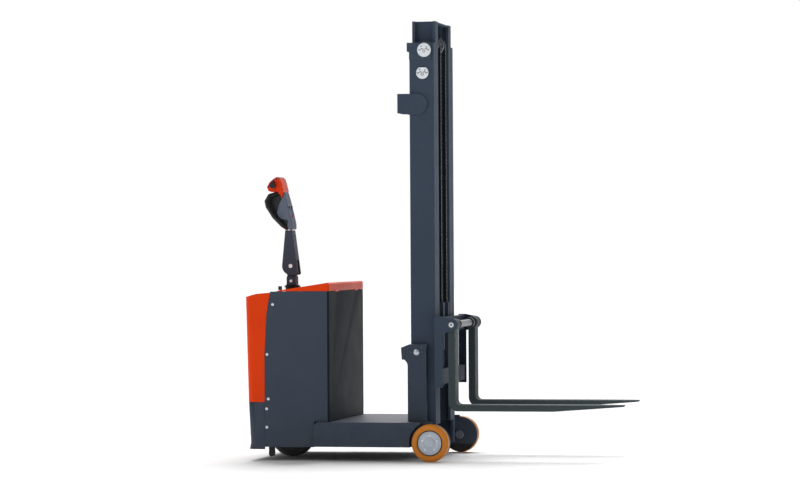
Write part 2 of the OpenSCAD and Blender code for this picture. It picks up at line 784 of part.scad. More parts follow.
bolt_y = outer_y1 + 30;
small_bolts = [[-118, 328], [-66, 350], [-62, 330], [-128, 346]];

module post_bolts() color(steel) both_sides() {
  bar_y(axle_x - 90, deck_z + 328, [bolt_y, bolt_y + 8], 28);
  for (p = small_bolts) bar_y(axle_x + p[0], deck_z + p[1], [bolt_y, bolt_y + 3], 9);
}

module lift_cylinder() color(black) difference() {
  union() {
    bar_z(ram_x, 0, [beam_z + 20, barrel_z1], barrel_d);
    bar_z(ram_x, 0, [barrel_z1 - 1, barrel_z1 + 26], barrel_d - 6);
  }
  bar_z(ram_x, 0, [barrel_z0, barrel_z1 - 20], barrel_d - 2 * barrel_wall);
  bar_z(ram_x, 0, [barrel_z1 - 21, barrel_z1 + 30], piston_rod_d + 2 * run_gap);
}

module piston_rod() color(white) {
  bar_z(ram_x, 0, [300, top_tie_z], piston_rod_d);
  bar_z(ram_x, 0, [300, 340], barrel_d - 2 * barrel_wall - 2 * run_gap);
}

module inner_mast() color(paint) {
  block([inner_rear_x, mast_front_x], [inner_web_y0, inner_web_y1], [inner_foot_z, inner_top_z]);
  block([mast_front_x - flange_t, mast_front_x], [inner_y0, inner_y1], [inner_foot_z, inner_top_z]);
  block([inner_rear_x, inner_rear_x + flange_t], [inner_y0, inner_y1], [inner_foot_z, inner_top_z]);
  bar_y(outer_roller_x, foot_roller_z, [inner_web_y1 - 1, outer_y1 - web_t - 3], stub_d);
}

module inner_mast_left() inner_mast();
module inner_mast_right() right_side() inner_mast();

module inner_tie() color(paint) {
  block([inner_rear_x + 4, ram_x + 40], [-inner_y0, inner_y0], [top_tie_z, inner_top_z - 2]);
  block([inner_rear_x + 4, mast_front_x - 2], [-inner_y0, inner_y0], [inner_top_z - 10, inner_top_z - 2]);
  block([mast_rear_x - 15, mast_rear_x - 5], [-inner_y1, inner_y1], [inner_foot_z + 130, inner_foot_z + 190]);
  both_sides() block([mast_rear_x - 6, inner_rear_x], [inner_y0 + 6, inner_y1 - 4],
    [inner_foot_z + 130, inner_foot_z + 190]);
  both_sides()
    block([sheave_x - 18, sheave_x + 18], [chain_y + 16, chain_y + 28], [sheave_z - 18, inner_top_z - 9]);
  block([sheave_x - 18, sheave_x + 18], [-6, 6], [sheave_z - 18, inner_top_z - 9]);
  bar_y(sheave_x, sheave_z, [-chain_y - 30, chain_y + 30], sheave_axle_d);
}

module inner_rollers() color(steel) both_sides() difference() {
  bar_y(outer_roller_x, foot_roller_z, [inner_y1 + 7, outer_y1 - web_t - 4], 2 * outer_roller_r);
  bar_y(outer_roller_x, foot_roller_z, [inner_y1, outer_y1], stub_d + 2 * run_gap);
}

module sheaves() color(steel) both_sides() difference() {
  union() {
    bar_y(sheave_x, sheave_z, [chain_y - 13, chain_y + 13], sheave_d - chain_t - 2 * slide_gap);
    bar_y(sheave_x, sheave_z, [chain_y - 13, chain_y - 9], sheave_d + 8);
    bar_y(sheave_x, sheave_z, [chain_y + 9, chain_y + 13], sheave_d + 8);
  }
  bar_y(sheave_x, sheave_z, [0, chain_y + 20], sheave_axle_d + 2 * run_gap);
}

// Chain run from inside the carriage's anchor sleeve up to the chain wheel
module chain_front() color(black) both_sides() {
  block([front_chain_x - chain_t / 2, front_chain_x + chain_t / 2],
    [chain_y - chain_w / 2, chain_y + chain_w / 2], [anchor_z0 + 8, sheave_z]);
}

// Chain over the wheel and down to the fixed anchor rod at the mast's foot
module chain_rear() color(black) both_sides() {
  block([rear_chain_x - chain_t / 2, rear_chain_x + chain_t / 2],
    [chain_y - chain_w / 2, chain_y + chain_w / 2], [rear_anchor_z, sheave_z]);
  difference() {
    bar_y(sheave_x, sheave_z, [chain_y - chain_w / 2, chain_y + chain_w / 2], sheave_d + chain_t);
    bar_y(sheave_x, sheave_z, [0, chain_y + chain_w], sheave_d - chain_t);
    block([sheave_x - 100, sheave_x + 100], [0, chain_y + chain_w], [sheave_z - 100, sheave_z]);
  }
}

// ---------- carriage and forks ----------

// Side plate of the carriage: an upright with an arm that holds the fork shaft
module carriage_arm() {
  side_solid([arm_y0, arm_y1]) polygon(concat(
    [[axle_x + 6, carriage_z0], [axle_x + 44, carriage_z0], [axle_x + 44, shaft_z - 40]],
    arc(shaft_x, shaft_z, arm_r, -90, 90, 14),
    [[shaft_x - 4, shaft_z + arm_r], [axle_x + 40, carriage_z1], [axle_x + 6, carriage_z1]]));
}

module roller_stub(z) {
  bar_y(inner_roller_x, z, [cheek_y0, inner_web_y0 - 2], stub_d);
}

module carriage_frame() color(paint) difference() {
  union() {
    both_sides() {
      carriage_arm();
      block([inner_roller_x - 28, bar_x0 + 1], [cheek_y0, cheek_y1], [carriage_z0, shaft_z + 20]);
      roller_stub(upper_roller_z);
      roller_stub(lower_roller_z);
      chain_sleeve(front_chain_x, [anchor_z0, anchor_z1]);
      block([front_chain_x + chain_t / 2 + chain_space + 1, bar_x0 + 1], [chain_y - 12, chain_y + 12],
        [shaft_z - 30, shaft_z + 30]);
    }
    block([bar_x0, bar_x1], [-arm_y0 - 1, arm_y0 + 1], [carriage_z0 + 15, carriage_z0 + 87]);
    block([bar_x0, bar_x1], [-arm_y0 - 1, arm_y0 + 1], [shaft_z - 35, shaft_z + 35]);
  }
  bar_y(shaft_x, shaft_z, [-arm_y1 - 1, arm_y1 + 1], shaft_d + 2 * run_gap);
}

module upper_rollers() color(steel) both_sides() carriage_roller(upper_roller_z);
module lower_rollers() color(steel) both_sides() carriage_roller(lower_roller_z);

module carriage_roller(z) difference() {
  bar_y(inner_roller_x, z, [inner_y0 + 1, inner_web_y0 - 3], 2 * inner_roller_r);
  bar_y(inner_roller_x, z, [inner_y0, inner_web_y0], stub_d + 2 * run_gap);
}

module fork_shaft() color(steel) {
  bar_y(shaft_x, shaft_z, [-arm_y1 - 3, arm_y1 + 3], shaft_d);
}

collar_y = fork_y0 - 45;

module shaft_collars() color(black) both_sides() difference() {
  bar_y(shaft_x, shaft_z, [collar_y - 16, collar_y], shaft_d + 14);
  bar_y(shaft_x, shaft_z, [collar_y - 17, collar_y + 1], shaft_d + 2 * run_gap);
}

heel_r = 42;
heel_in_r = 22;
blade_z1 = fork_z + fork_t;
taper_x = tip_x - 335;
tip_t = 9;
eye_r = 29;

// Side outline of a fork: shank, round heel and a blade whose underside rises to the tip
module fork_outline() {
  polygon(concat(
    [[shank_x, shaft_z]],
    arc(shank_x + heel_r, fork_z + heel_r, heel_r, 180, 270, 8),
    [[taper_x, fork_z], [tip_x - 6, blade_z1 - tip_t], [tip_x, blade_z1 - tip_t + 3], [tip_x, blade_z1]],
    arc(shank_x + shank_t + heel_in_r, blade_z1 + heel_in_r, heel_in_r, 270, 180, 6),
    [[shank_x + shank_t, shaft_z]]));
}

module fork() color(fork_paint) difference() {
  union() {
    intersection() {
      side_solid([fork_y0, fork_y1]) fork_outline();
      translate([0, 0, fork_z - 1]) linear_extrude(shaft_z) polygon([
        [shank_x - 1, fork_y0 - 1], [tip_x - 150, fork_y0 - 1], [tip_x - 30, fork_y0 + 14],
        [tip_x + 1, fork_y0 + fork_w / 2 - 8], [tip_x + 1, fork_y0 + fork_w / 2 + 8],
        [tip_x - 30, fork_y1 - 14], [tip_x - 150, fork_y1 + 1], [shank_x - 1, fork_y1 + 1]]);
    }
    bar_y(shaft_x, shaft_z, [fork_y0, fork_y1], 2 * eye_r);
  }
  bar_y(shaft_x, shaft_z, [fork_y0 - 1, fork_y1 + 1], shaft_d + 2 * run_gap);
}

module fork_left() fork();
module fork_right() right_side() fork();

// ---------- the nodes ----------

chassis_frame();
front_axles();
side_panel_left();
side_panel_right();
front_cover();
rear_cover();
rear_skirt();
cover_screws();
battery();
power_pack();
controller();
charger();
key_switch();
lift_cylinder();
outer_mast_left();
outer_mast_right();
upper_tie();
mast_post_left();
mast_post_right();
post_bolts();
roller_caps();
stabiliser_feet();
gearbox();
traction_motor();
tiller_base();
tiller_boot();
drive_tyre();
drive_hub();
tiller_arm();
tiller_pin();
tiller_head();
head_cap();
hand_guard();
throttle();
lift_button();
lower_button();
horn_button();
belly_button();
key();
top_lid();
tyre_left();
tyre_right();
hub_left();
hub_right();
inner_mast_left();
inner_mast_right();
inner_tie();
piston_rod();
sheaves();
outer_rollers();
inner_rollers();
upper_rollers();
lower_rollers();
chain_front();
chain_rear();
carriage_frame();
fork_shaft();
shaft_collars();
fork_left();
fork_right();
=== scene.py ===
import json
import math

import bmesh
import bpy
from mathutils import Matrix, Vector


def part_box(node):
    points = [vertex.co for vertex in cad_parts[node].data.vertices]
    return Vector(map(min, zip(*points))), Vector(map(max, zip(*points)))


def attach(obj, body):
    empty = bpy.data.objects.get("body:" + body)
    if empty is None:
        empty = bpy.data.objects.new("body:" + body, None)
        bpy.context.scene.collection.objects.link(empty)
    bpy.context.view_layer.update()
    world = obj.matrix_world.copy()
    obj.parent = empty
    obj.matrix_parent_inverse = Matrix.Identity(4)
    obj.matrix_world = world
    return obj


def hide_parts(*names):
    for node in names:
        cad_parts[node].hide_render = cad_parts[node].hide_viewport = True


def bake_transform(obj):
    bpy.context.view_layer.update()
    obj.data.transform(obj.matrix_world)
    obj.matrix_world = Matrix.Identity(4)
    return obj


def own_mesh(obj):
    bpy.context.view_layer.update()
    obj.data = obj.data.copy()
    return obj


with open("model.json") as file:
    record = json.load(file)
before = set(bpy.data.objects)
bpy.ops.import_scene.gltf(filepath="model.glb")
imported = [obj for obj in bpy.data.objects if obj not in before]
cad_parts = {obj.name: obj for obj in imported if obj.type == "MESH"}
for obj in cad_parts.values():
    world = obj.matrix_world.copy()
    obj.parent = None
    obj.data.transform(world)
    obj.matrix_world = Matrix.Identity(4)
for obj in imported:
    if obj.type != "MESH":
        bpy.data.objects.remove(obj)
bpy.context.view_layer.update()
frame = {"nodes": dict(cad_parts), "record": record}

SCENE = bpy.context.scene
NODES = frame["nodes"]
BODY = {n: b for b, ns in frame["record"]["behaviour"]["bodies"].items() for n in ns}
UP = Vector((0, 0, 1))


# ---------- camera, world, lights, floor ----------

def link(obj):
    SCENE.collection.objects.link(obj)
    return obj


def make_camera():
    """The photograph's view: 12 degrees round from square on, level, at waist height, from far off."""
    data = bpy.data.cameras.new("camera")
    data.sensor_width = 36
    data.lens = 146.07
    data.clip_start, data.clip_end = 0.5, 200
    cam = link(bpy.data.objects.new("camera", data))
    azimuth, pitch, roll = math.radians(12), math.radians(-0.0706), math.radians(-0.35)
    turn = (Matrix.Rotation(azimuth, 4, "Z") @ Matrix.Rotation(math.pi / 2 + pitch, 4, "X")
            @ Matrix.Rotation(roll, 4, "Z"))
    cam.matrix_world = Matrix.Translation((3.0453, -15.3777, 1.020)) @ turn
    SCENE.camera = cam


def make_world():
    """White behind the truck, and dimmer overhead, from the viewer's side and from the fork side."""
    world = bpy.data.worlds.new("studio")
    world.use_nodes = True
    tree = world.node_tree
    background = tree.nodes["Background"]
    background.inputs["Color"].default_value = (1, 1, 1, 1)
    axes = tree.nodes.new("ShaderNodeSeparateXYZ")
    tree.links.new(tree.nodes.new("ShaderNodeTexCoord").outputs["Generated"], axes.inputs[0])
    shares = []
    for axis, start, end, low, high in (("Y", -0.3, 0.7, 0.62, 1.0), ("X", 0.15, 0.85, 1.0, 0.25),
                                        ("Z", 0.1, 0.8, 1.0, 0.5)):
        share = tree.nodes.new("ShaderNodeMapRange")
        share.inputs["From Min"].default_value = start
        share.inputs["From Max"].default_value = end
        share.inputs["To Min"].default_value = low
        share.inputs["To Max"].default_value = high
        tree.links.new(axes.outputs[axis], share.inputs["Value"])
        shares.append(share.outputs["Result"])
    strength = shares[0]
    for share in shares[1:]:
        product = tree.nodes.new("ShaderNodeMath")
        product.operation = "MULTIPLY"
        tree.links.new(strength, product.inputs[0])
        tree.links.new(share, product.inputs[1])
        strength = product.outputs[0]
    tree.links.new(strength, background.inputs["Strength"])
    SCENE.world = world
    SCENE.view_settings.view_transform = "Standard"
    SCENE.view_settings.look = "None"


def area_light(name, place, aim, size, power):
    data = bpy.data.lights.new(name, "AREA")
    data.shape = "RECTANGLE"
    data.size, data.size_y = size
    data.energy = power
    lamp = link(bpy.data.objects.new(name, data))
    lamp.location = place
    lamp.rotation_euler = (Vector(aim) - Vector(place)).to_track_quat("-Z", "Y").to_euler()


def make_lights():
    sun_data = bpy.data.lights.new("sun", "SUN")
    sun_data.energy = 3.2
    sun_data.angle = math.radians(50)
    sun = link(bpy.data.objects.new("sun", sun_data))
    sun.rotation_euler = Vector((0.05, -0.75, -1)).to_track_quat("-Z", "Y").to_euler()
    area_light("key", (-3.2, -4.6, 4.2), (0, 0, 1.0), (2.4, 2.4), 40)
    area_light("rim", (4.0, -1.5, 3.2), (0, 0, 1.0), (0.8, 3.0), 15)


# ---------- materials ----------

def srgb(r, g, b):
    """A colour given in 0..255 display values, as the linear colour that Blender uses."""
    def one(v):
        v /= 255
        return v / 12.92 if v <= 0.04045 else ((v + 0.055) / 1.055) ** 2.4
    return (one(r), one(g), one(b), 1)


class Nodes:
    """Short calls for building a material's node tree."""

    def __init__(self, name):
        self.material = bpy.data.materials.new(name)
        self.material.use_nodes = True
        self.tree = self.material.node_tree
        self.shader = self.tree.nodes["Principled BSDF"]
        self.place = self.tree.nodes.new("ShaderNodeTexCoord").outputs["Object"]

    def put(self, value, socket):
        if isinstance(value, bpy.types.NodeSocket):
            self.tree.links.new(value, socket)
        else:
            socket.default_value = value

    def noise(self, scale, detail=2.0, stretch=(1, 1, 1), rough=0.5):
        mapping = self.tree.nodes.new("ShaderNodeMapping")
        mapping.inputs["Scale"].default_value = stretch
        self.put(self.place, mapping.inputs["Vector"])
        node = self.tree.nodes.new("ShaderNodeTexNoise")
        node.inputs["Scale"].default_value = scale
        node.inputs["Detail"].default_value = detail
        node.inputs["Roughness"].default_value = rough
        self.put(mapping.outputs["Vector"], node.inputs["Vector"])
        return node.outputs["Fac"]

    def spread(self, value, low, high, out_low=0.0, out_high=1.0):
        node = self.tree.nodes.new("ShaderNodeMapRange")
        node.inputs["From Min"].default_value = low
        node.inputs["From Max"].default_value = high
        node.inputs["To Min"].default_value = out_low
        node.inputs["To Max"].default_value = out_high
        self.put(value, node.inputs["Value"])
        return node.outputs["Result"]

    def math(self, how, a, b=0.0):
        node = self.tree.nodes.new("ShaderNodeMath")
        node.operation = how
        node.use_clamp = how in ("ADD", "MULTIPLY")
        self.put(a, node.inputs[0])
        self.put(b, node.inputs[1])
        return node.outputs[0]

    def mix(self, share, a, b):
        node = self.tree.nodes.new("ShaderNodeMix")
        node.data_type = "RGBA"
        self.put(share, node.inputs["Factor"])
        self.put(a, node.inputs[6])
        self.put(b, node.inputs[7])
        return node.outputs[2]

    def height(self):
        node = self.tree.nodes.new("ShaderNodeSeparateXYZ")
        self.put(self.place, node.inputs[0])
        return node.outputs["Z"]

    def attribute(self, name):
        node = self.tree.nodes.new("ShaderNodeAttribute")
        node.attribute_name = name
        return node.outputs["Fac"]

    def bump(self, value, depth, before=None):
        node = self.tree.nodes.new("ShaderNodeBump")
        node.inputs["Strength"].default_value = 1.0
        node.inputs["Distance"].default_value = depth
        self.put(value, node.inputs["Height"])
        if before is not None:
            self.put(before, node.inputs["Normal"])
        return node.outputs["Normal"]

    def set(self, **values):
        names = dict(color="Base Color", rough="Roughness", metal="Metallic", spec="Specular IOR Level",
                     coat="Coat Weight", coat_rough="Coat Roughness", normal="Normal",
                     subsurface="Subsurface Weight", radius="Subsurface Radius", scale="Subsurface Scale",
                     anisotropy="Anisotropic")
        for key, value in values.items():
            self.put(value, self.shader.inputs[names[key]])
        return self.material


def scaled(color, k):
    return (color[0] * k, color[1] * k, color[2] * k, 1)


def coated(name, color, rough, spec=0.4, grain=(700, 0.00006), edge_wear_and_highlight=None, edge_wear_and_highlight_share=0.3, dust=0.0, **more):
    """Paint or plastic: slow changes of tone, a fine surface texture, and edges painted a little lighter,
    partly as wear and partly as a painted highlight.
    """
    n = Nodes(name)
    slow = n.spread(n.noise(2.6, 3), 0.3, 0.7)
    tone = n.mix(slow, scaled(color, 0.95), scaled(color, 1.05))
    patch = n.spread(n.noise(38, 4, rough=0.6), 0.52, 0.75, 0.0, 0.12)
    tone = n.mix(patch, tone, scaled(color, 1.22))
    if dust:
        low = n.math("MULTIPLY", n.spread(n.height(), 0.32, 0.02),
                     n.spread(n.noise(14, 4), 0.35, 0.7, 0.2, 1.0))
        tone = n.mix(n.math("MULTIPLY", low, dust), tone, srgb(150, 146, 140))
    shine = n.spread(n.noise(9, 4), 0.25, 0.75, rough - 0.03, rough + 0.04)
    # Rounded edges painted a little lighter: partly rubbed wear, partly a painted highlight along the edges.
    if edge_wear_and_highlight is not None:
        edge_rub_and_highlight = n.math("MULTIPLY", n.attribute("edge"),
                     n.spread(n.noise(60, 5, rough=0.65), 0.35, 0.68, 0.15, 1.0))
        edge_rub_and_highlight = n.math("MULTIPLY", edge_rub_and_highlight, edge_wear_and_highlight_share)
        tone = n.mix(edge_rub_and_highlight, tone, edge_wear_and_highlight)
    normal = n.bump(n.noise(grain[0], 2), grain[1])
    return n.set(color=tone, rough=shine, spec=spec, normal=normal, **more)


def machined(name, color, rough, metal=1.0, stretch=(1, 1, 1), scale=900, depth=0.00003, grime=None, **more):
    """Bare or plated metal: fine tool marks along one direction, and grime in patches."""
    n = Nodes(name)
    lines = n.noise(scale, 3, stretch)
    tone = n.mix(n.spread(lines, 0.3, 0.7), scaled(color, 0.9), scaled(color, 1.05))
    blot = n.spread(n.noise(45, 4, rough=0.65), 0.5, 0.78, 0.0, 0.45)
    tone = n.mix(blot, tone, grime or scaled(color, 0.6))
    shine = n.math("ADD", n.spread(lines, 0.3, 0.7, rough - 0.05, rough + 0.05),
                   n.spread(blot, 0, 0.45, 0, 0.12))
    return n.set(color=tone, rough=shine, metal=metal, normal=n.bump(lines, depth), **more)


# Edge colour for the paints: partly worn edges, partly a painted highlight on edges that catch the light.
EDGE_WEAR_AND_HIGHLIGHT = srgb(120, 128, 142)
MATERIALS = {
    "paint": coated("paint", srgb(60, 69, 83), 0.46, 0.12, (620, 0.00009), EDGE_WEAR_AND_HIGHLIGHT, 0.35, dust=0.06),
    "mast_paint": coated("mast paint", srgb(60, 71, 86), 0.50, 0.06, (620, 0.00009), EDGE_WEAR_AND_HIGHLIGHT, 0.38),
    # The body paint at half brightness for the front cover: painted shade on the face turned towards the
    # forks.
    "shaded_cover_paint": coated("shaded cover paint", srgb(30, 35, 44), 0.55, 0.06, (620, 0.00004), EDGE_WEAR_AND_HIGHLIGHT, 0.30),
    "fork_paint": coated("fork paint", srgb(62, 71, 74), 0.50, 0.06, (420, 0.00014), srgb(130, 134, 134),
                         0.45, dust=0.10),
    "orange_cover": coated("orange cover", srgb(222, 62, 8), 0.34, 0.08, (300, 0.00005),
                           srgb(246, 120, 70), 0.35),
    "orange_plastic": coated("orange plastic", srgb(222, 58, 16), 0.34, 0.12, (900, 0.00004),
                             srgb(240, 100, 60), 0.15),
    "red_plastic": coated("red plastic", srgb(176, 24, 34), 0.28, 0.4, (900, 0.00004), srgb(230, 80, 80),
                          0.3),
    "head_grey": coated("head grey", srgb(98, 109, 126), 0.50, 0.12, (1500, 0.00008),
                        srgb(120, 130, 146), 0.15),
    "black_plastic": coated("black plastic", srgb(16, 18, 23), 0.30, 0.4, (1600, 0.00009),
                            srgb(80, 84, 92), 0.35),
    "black_rubber": coated("black rubber", srgb(18, 19, 22), 0.62, 0.3, (1100, 0.00008),
                           srgb(66, 68, 72), 0.3, dust=0.12),
    "drive_rubber": coated("drive rubber", srgb(24, 25, 27), 0.66, 0.25, (500, 0.00016),
                           srgb(84, 84, 82), 0.4, dust=0.30),
    "urethane": coated("urethane", srgb(206, 124, 24), 0.36, 0.35, (260, 0.00010), srgb(228, 160, 80),
                       0.35, subsurface=0.10, radius=(0.012, 0.005, 0.0015), scale=1.0),
    "hub_silver": machined("hub silver", srgb(188, 196, 208), 0.38, 0.35, (1, 1, 1), 300, 0.00006,
                           srgb(150, 158, 170)),
    "bright_steel": machined("bright steel", srgb(186, 190, 197), 0.28, 1.0, (1, 12, 1), 260),
    "dark_steel": machined("dark steel", srgb(92, 97, 104), 0.34, 0.8, (1, 12, 1), 260),
    "zinc": machined("zinc", srgb(228, 233, 237), 0.34, 0.35, (1, 1, 1), 500, 0.00004, srgb(176, 186, 194)),
    "chrome": machined("chrome", srgb(222, 225, 230), 0.10, 1.0, (6, 6, 1), 500, 0.00001),
    "motor_casting": coated("motor casting", srgb(58, 62, 67), 0.55, 0.35, (260, 0.0004),
                            srgb(120, 124, 128), 0.4),
    "cylinder_black": coated("cylinder black", srgb(22, 24, 28), 0.30, 0.4, (500, 0.00006),
                             srgb(80, 84, 88), 0.4),
    "chain_steel": machined("chain steel", srgb(54, 56, 60), 0.36, 1.0, (1, 1, 1), 700, 0.00004,
                            srgb(20, 20, 22)),
    # Dark brown for a thin ring in the hub's step: painted shade where the step shades itself.
    "painted_groove_shade": coated("painted groove shade", srgb(58, 40, 24), 0.7, 0.2, (500, 0.0001)),
}


# ---------- mesh helpers ----------

def as_object(name, mesh):
    return link(bpy.data.objects.new(name, mesh))


def from_bmesh(name, bm):
    bmesh.ops.recalc_face_normals(bm, faces=bm.faces[:])
    mesh = bpy.data.meshes.new(name)
    bm.to_mesh(mesh)
    bm.free()
    return as_object(name, mesh)


def applied(obj):
    """The object with its modifiers worked into its mesh."""
    mesh = bpy.data.meshes.new_from_object(obj.evaluated_get(bpy.context.evaluated_depsgraph_get()))
    obj.modifiers.clear()
    obj.data = mesh
    return obj


def smooth(obj, angle=32):
    for p in obj.data.polygons:
        p.use_smooth = True
    obj.data.set_sharp_from_angle(angle=math.radians(angle))
    return obj


def round_edges(obj, width, segments=2, angle=32, shortest=0.0):
    """Rounds edges no shorter than the shortest, and marks the rounded faces, which a material paints lighter
    as wear and painted highlight.
    """
    smooth(obj, angle)
    if shortest:
        bm = bmesh.new()
        bm.from_mesh(obj.data)
        weight = bm.edges.layers.float.new("bevel_weight_edge")
        for e in bm.edges:
            long = len(e.link_faces) == 2 and e.calc_length() >= shortest
            if long and e.calc_face_angle() > math.radians(12):
                e[weight] = 1.0
        bm.to_mesh(obj.data)
        bm.free()
    obj.data.materials.clear()
    obj.data.materials.append(MATERIALS["paint"])
    obj.data.materials.append(MATERIALS["paint"])
    mod = obj.modifiers.new("round", "BEVEL")
    mod.width = width
    mod.segments = segments
    mod.limit_method = "WEIGHT" if shortest else "ANGLE"
    mod.angle_limit = math.radians(angle)
    mod.harden_normals = True
    mod.use_clamp_overlap = True
    mod.material = 1
    applied(obj)
    mesh = obj.data
    edge = mesh.attributes.get("edge") or mesh.attributes.new("edge", "FLOAT", "CORNER")
    share = [0.0] * len(mesh.loops)
    for p in mesh.polygons:
        if p.material_index == 1:
            for i in p.loop_indices:
                share[i] = 1.0
        p.material_index = 0
    edge.data.foreach_set("value", share)
    mesh.materials.clear()
    return obj


def finish(obj, body, material, replaces=()):
    """Gives a piece its material and ties it to its body."""
    obj.data.materials.clear()
    obj.data.materials.append(MATERIALS[material])
    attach(obj, body)
    if replaces:
        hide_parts(*replaces)
    return obj


def node_copy(node, name=None):
    """A CAD node's surface as a new mesh, its triangles joined into whole faces."""
    bm = bmesh.new()
    bm.from_mesh(NODES[node].data)
    bmesh.ops.remove_doubles(bm, verts=bm.verts[:], dist=2e-6)
    bmesh.ops.dissolve_limit(bm, angle_limit=math.radians(0.4), verts=bm.verts[:], edges=bm.edges[:])
    return from_bmesh(name or node + "_piece", bm)


def dressed(node, material, width=0.0015, segments=2, shortest=0.0):
    """A CAD node with its edges rounded."""
    obj = round_edges(node_copy(node), width, segments, shortest=shortest)
    return finish(obj, BODY[node], material, (node,))


def add_prism(bm, outline, low, high, place=Matrix.Identity(4)):
    """Adds a prism: outline points are (x, z), and it runs from low to high along y."""
    ends = [[bm.verts.new(place @ Vector((x, y, z))) for x, z in outline] for y in (low, high)]
    bm.faces.new(ends[0])
    bm.faces.new(ends[1][::-1])
    count = len(outline)
    for i in range(count):
        j = (i + 1) % count
        bm.faces.new([ends[0][i], ends[1][i], ends[1][j], ends[0][j]])


def circle(x, z, r, steps=24, start=0.0, turn=360.0):
    full = turn == 360.0
    count = steps if full else steps + 1
    return [(x + r * math.cos(math.radians(start + turn * i / steps)),
             z + r * math.sin(math.radians(start + turn * i / steps))) for i in range(count)]


def turned(name, profile, centre, axis, steps=96, closed=False):
    """A turned shape: profile points are (radius, distance along the axis)."""
    axis = Vector(axis).normalized()
    side = axis.orthogonal().normalized()
    other = axis.cross(side)
    centre = Vector(centre)
    bm = bmesh.new()
    rings = []
    for r, h in profile:
        if r < 1e-7:
            rings.append([bm.verts.new(centre + axis * h)])
            continue
        rings.append([bm.verts.new(centre + axis * h + (side * math.cos(2 * math.pi * i / steps)
                                   + other * math.sin(2 * math.pi * i / steps)) * r) for i in range(steps)])
    pairs = list(zip(rings, rings[1:]))
    if closed:
        pairs.append((rings[-1], rings[0]))
    for a, b in pairs:
        for i in range(steps):
            j = (i + 1) % steps
            if len(a) == 1:
                bm.faces.new([a[0], b[j], b[i]])
            elif len(b) == 1:
                bm.faces.new([a[i], a[j], b[0]])
            else:
                bm.faces.new([a[i], a[j], b[j], b[i]])
    return smooth(from_bmesh(name, bm), 40)


def fillet(points, radius, steps=4):
    """An open outline with its inner corners rounded. radius is one number or one for each point."""
    out = []
    count = len(points)
    for i, p in enumerate(points):
        r = radius[i] if isinstance(radius, (list, tuple)) else radius
        if i in (0, count - 1) or r <= 0:
            out.append(p)
            continue
        here, back, ahead = Vector(p), Vector(points[i - 1]) - Vector(p), Vector(points[i + 1]) - Vector(p)
        turn = back.angle(ahead)
        cut = min(r / math.tan(turn / 2), back.length * 0.48, ahead.length * 0.48)
        a, b = here + back.normalized() * cut, here + ahead.normalized() * cut
        for k in range(steps + 1):
            t = k / steps
            q = a * (1 - t) ** 2 + here * (2 * t * (1 - t)) + b * t ** 2
            out.append((q.x, q.y))
    return out


def tube(name, points, radius, steps=16, close_ends=True):
    """A round tube along smooth points, its radius one number or one for each point."""
    bm = bmesh.new()
    rings = []
    normal = None
    count = len(points)
    for i, p in enumerate(points):
        ahead = (points[min(i + 1, count - 1)] - points[max(i - 1, 0)]).normalized()
        if normal is None:
            normal = ahead.orthogonal().normalized()
        normal = (normal - ahead * normal.dot(ahead)).normalized()
        other = ahead.cross(normal)
        r = radius[i] if isinstance(radius, (list, tuple)) else radius
        rings.append([bm.verts.new(p + (normal * math.cos(2 * math.pi * k / steps)
                                        + other * math.sin(2 * math.pi * k / steps)) * r)
                      for k in range(steps)])
    for a, b in zip(rings, rings[1:]):
        for k in range(steps):
            j = (k + 1) % steps
            bm.faces.new([a[k], a[j], b[j], b[k]])
    if close_ends:
        bm.faces.new(rings[0][::-1])
        bm.faces.new(rings[-1])
    return smooth(from_bmesh(name, bm), 50)


def spline(points, per=6):
    """Points of a smooth curve through the given points."""
    p = [Vector(q) for q in points]
    p = [p[0] * 2 - p[1]] + p + [p[-1] * 2 - p[-2]]
    out = []
    for i in range(1, len(p) - 2):
        for k in range(per):
            t = k / per
            out.append(0.5 * ((2 * p[i]) + (p[i + 1] - p[i - 1]) * t
                              + (2 * p[i - 1] - 5 * p[i] + 4 * p[i + 1] - p[i + 2]) * t * t
                              + (3 * p[i] - p[i - 1] - 3 * p[i + 1] + p[i + 2]) * t ** 3))
    out.append(p[-2])
    return out


def join(name, objects):
    """Several new meshes as one piece."""
    bm = bmesh.new()
    for obj in objects:
        bm.from_mesh(obj.data)
    mesh = bpy.data.meshes.new(name)
    bm.to_mesh(mesh)
    bm.free()
    for obj in objects:
        bpy.data.objects.remove(obj)
    return as_object(name, mesh)


def middle(node):
    low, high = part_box(node)
    return (low + high) / 2


# ---------- painted steelwork and covers ----------

def steelwork():
    for node, width in (("chassis_frame", 0.0025), ("mast_post_left", 0.003), ("mast_post_right", 0.003),
                        ("gearbox", 0.003), ("tiller_base", 0.0025), ("tiller_arm", 0.004)):
        dressed(node, "paint", width)
    for node, width in (("outer_mast_left", 0.003), ("outer_mast_right", 0.003), ("upper_tie", 0.003),
                        ("inner_mast_left", 0.003), ("inner_mast_right", 0.003), ("inner_tie", 0.002),
                        ("carriage_frame", 0.002)):
        dressed(node, "mast_paint", width)
    for node in ("fork_left", "fork_right"):
        dressed(node, "fork_paint", 0.004, 3)
    for node in ("side_panel_left", "side_panel_right"):
        dressed(node, "paint", 0.0014)
    # Front cover in the half-bright body paint: painted shade.
    dressed("front_cover", "shaded_cover_paint", 0.0016)
    dressed("rear_skirt", "paint", 0.0018)
    dressed("rear_cover", "orange_cover", 0.0018, 3)
    dressed("top_lid", "orange_cover", 0.004, 3)


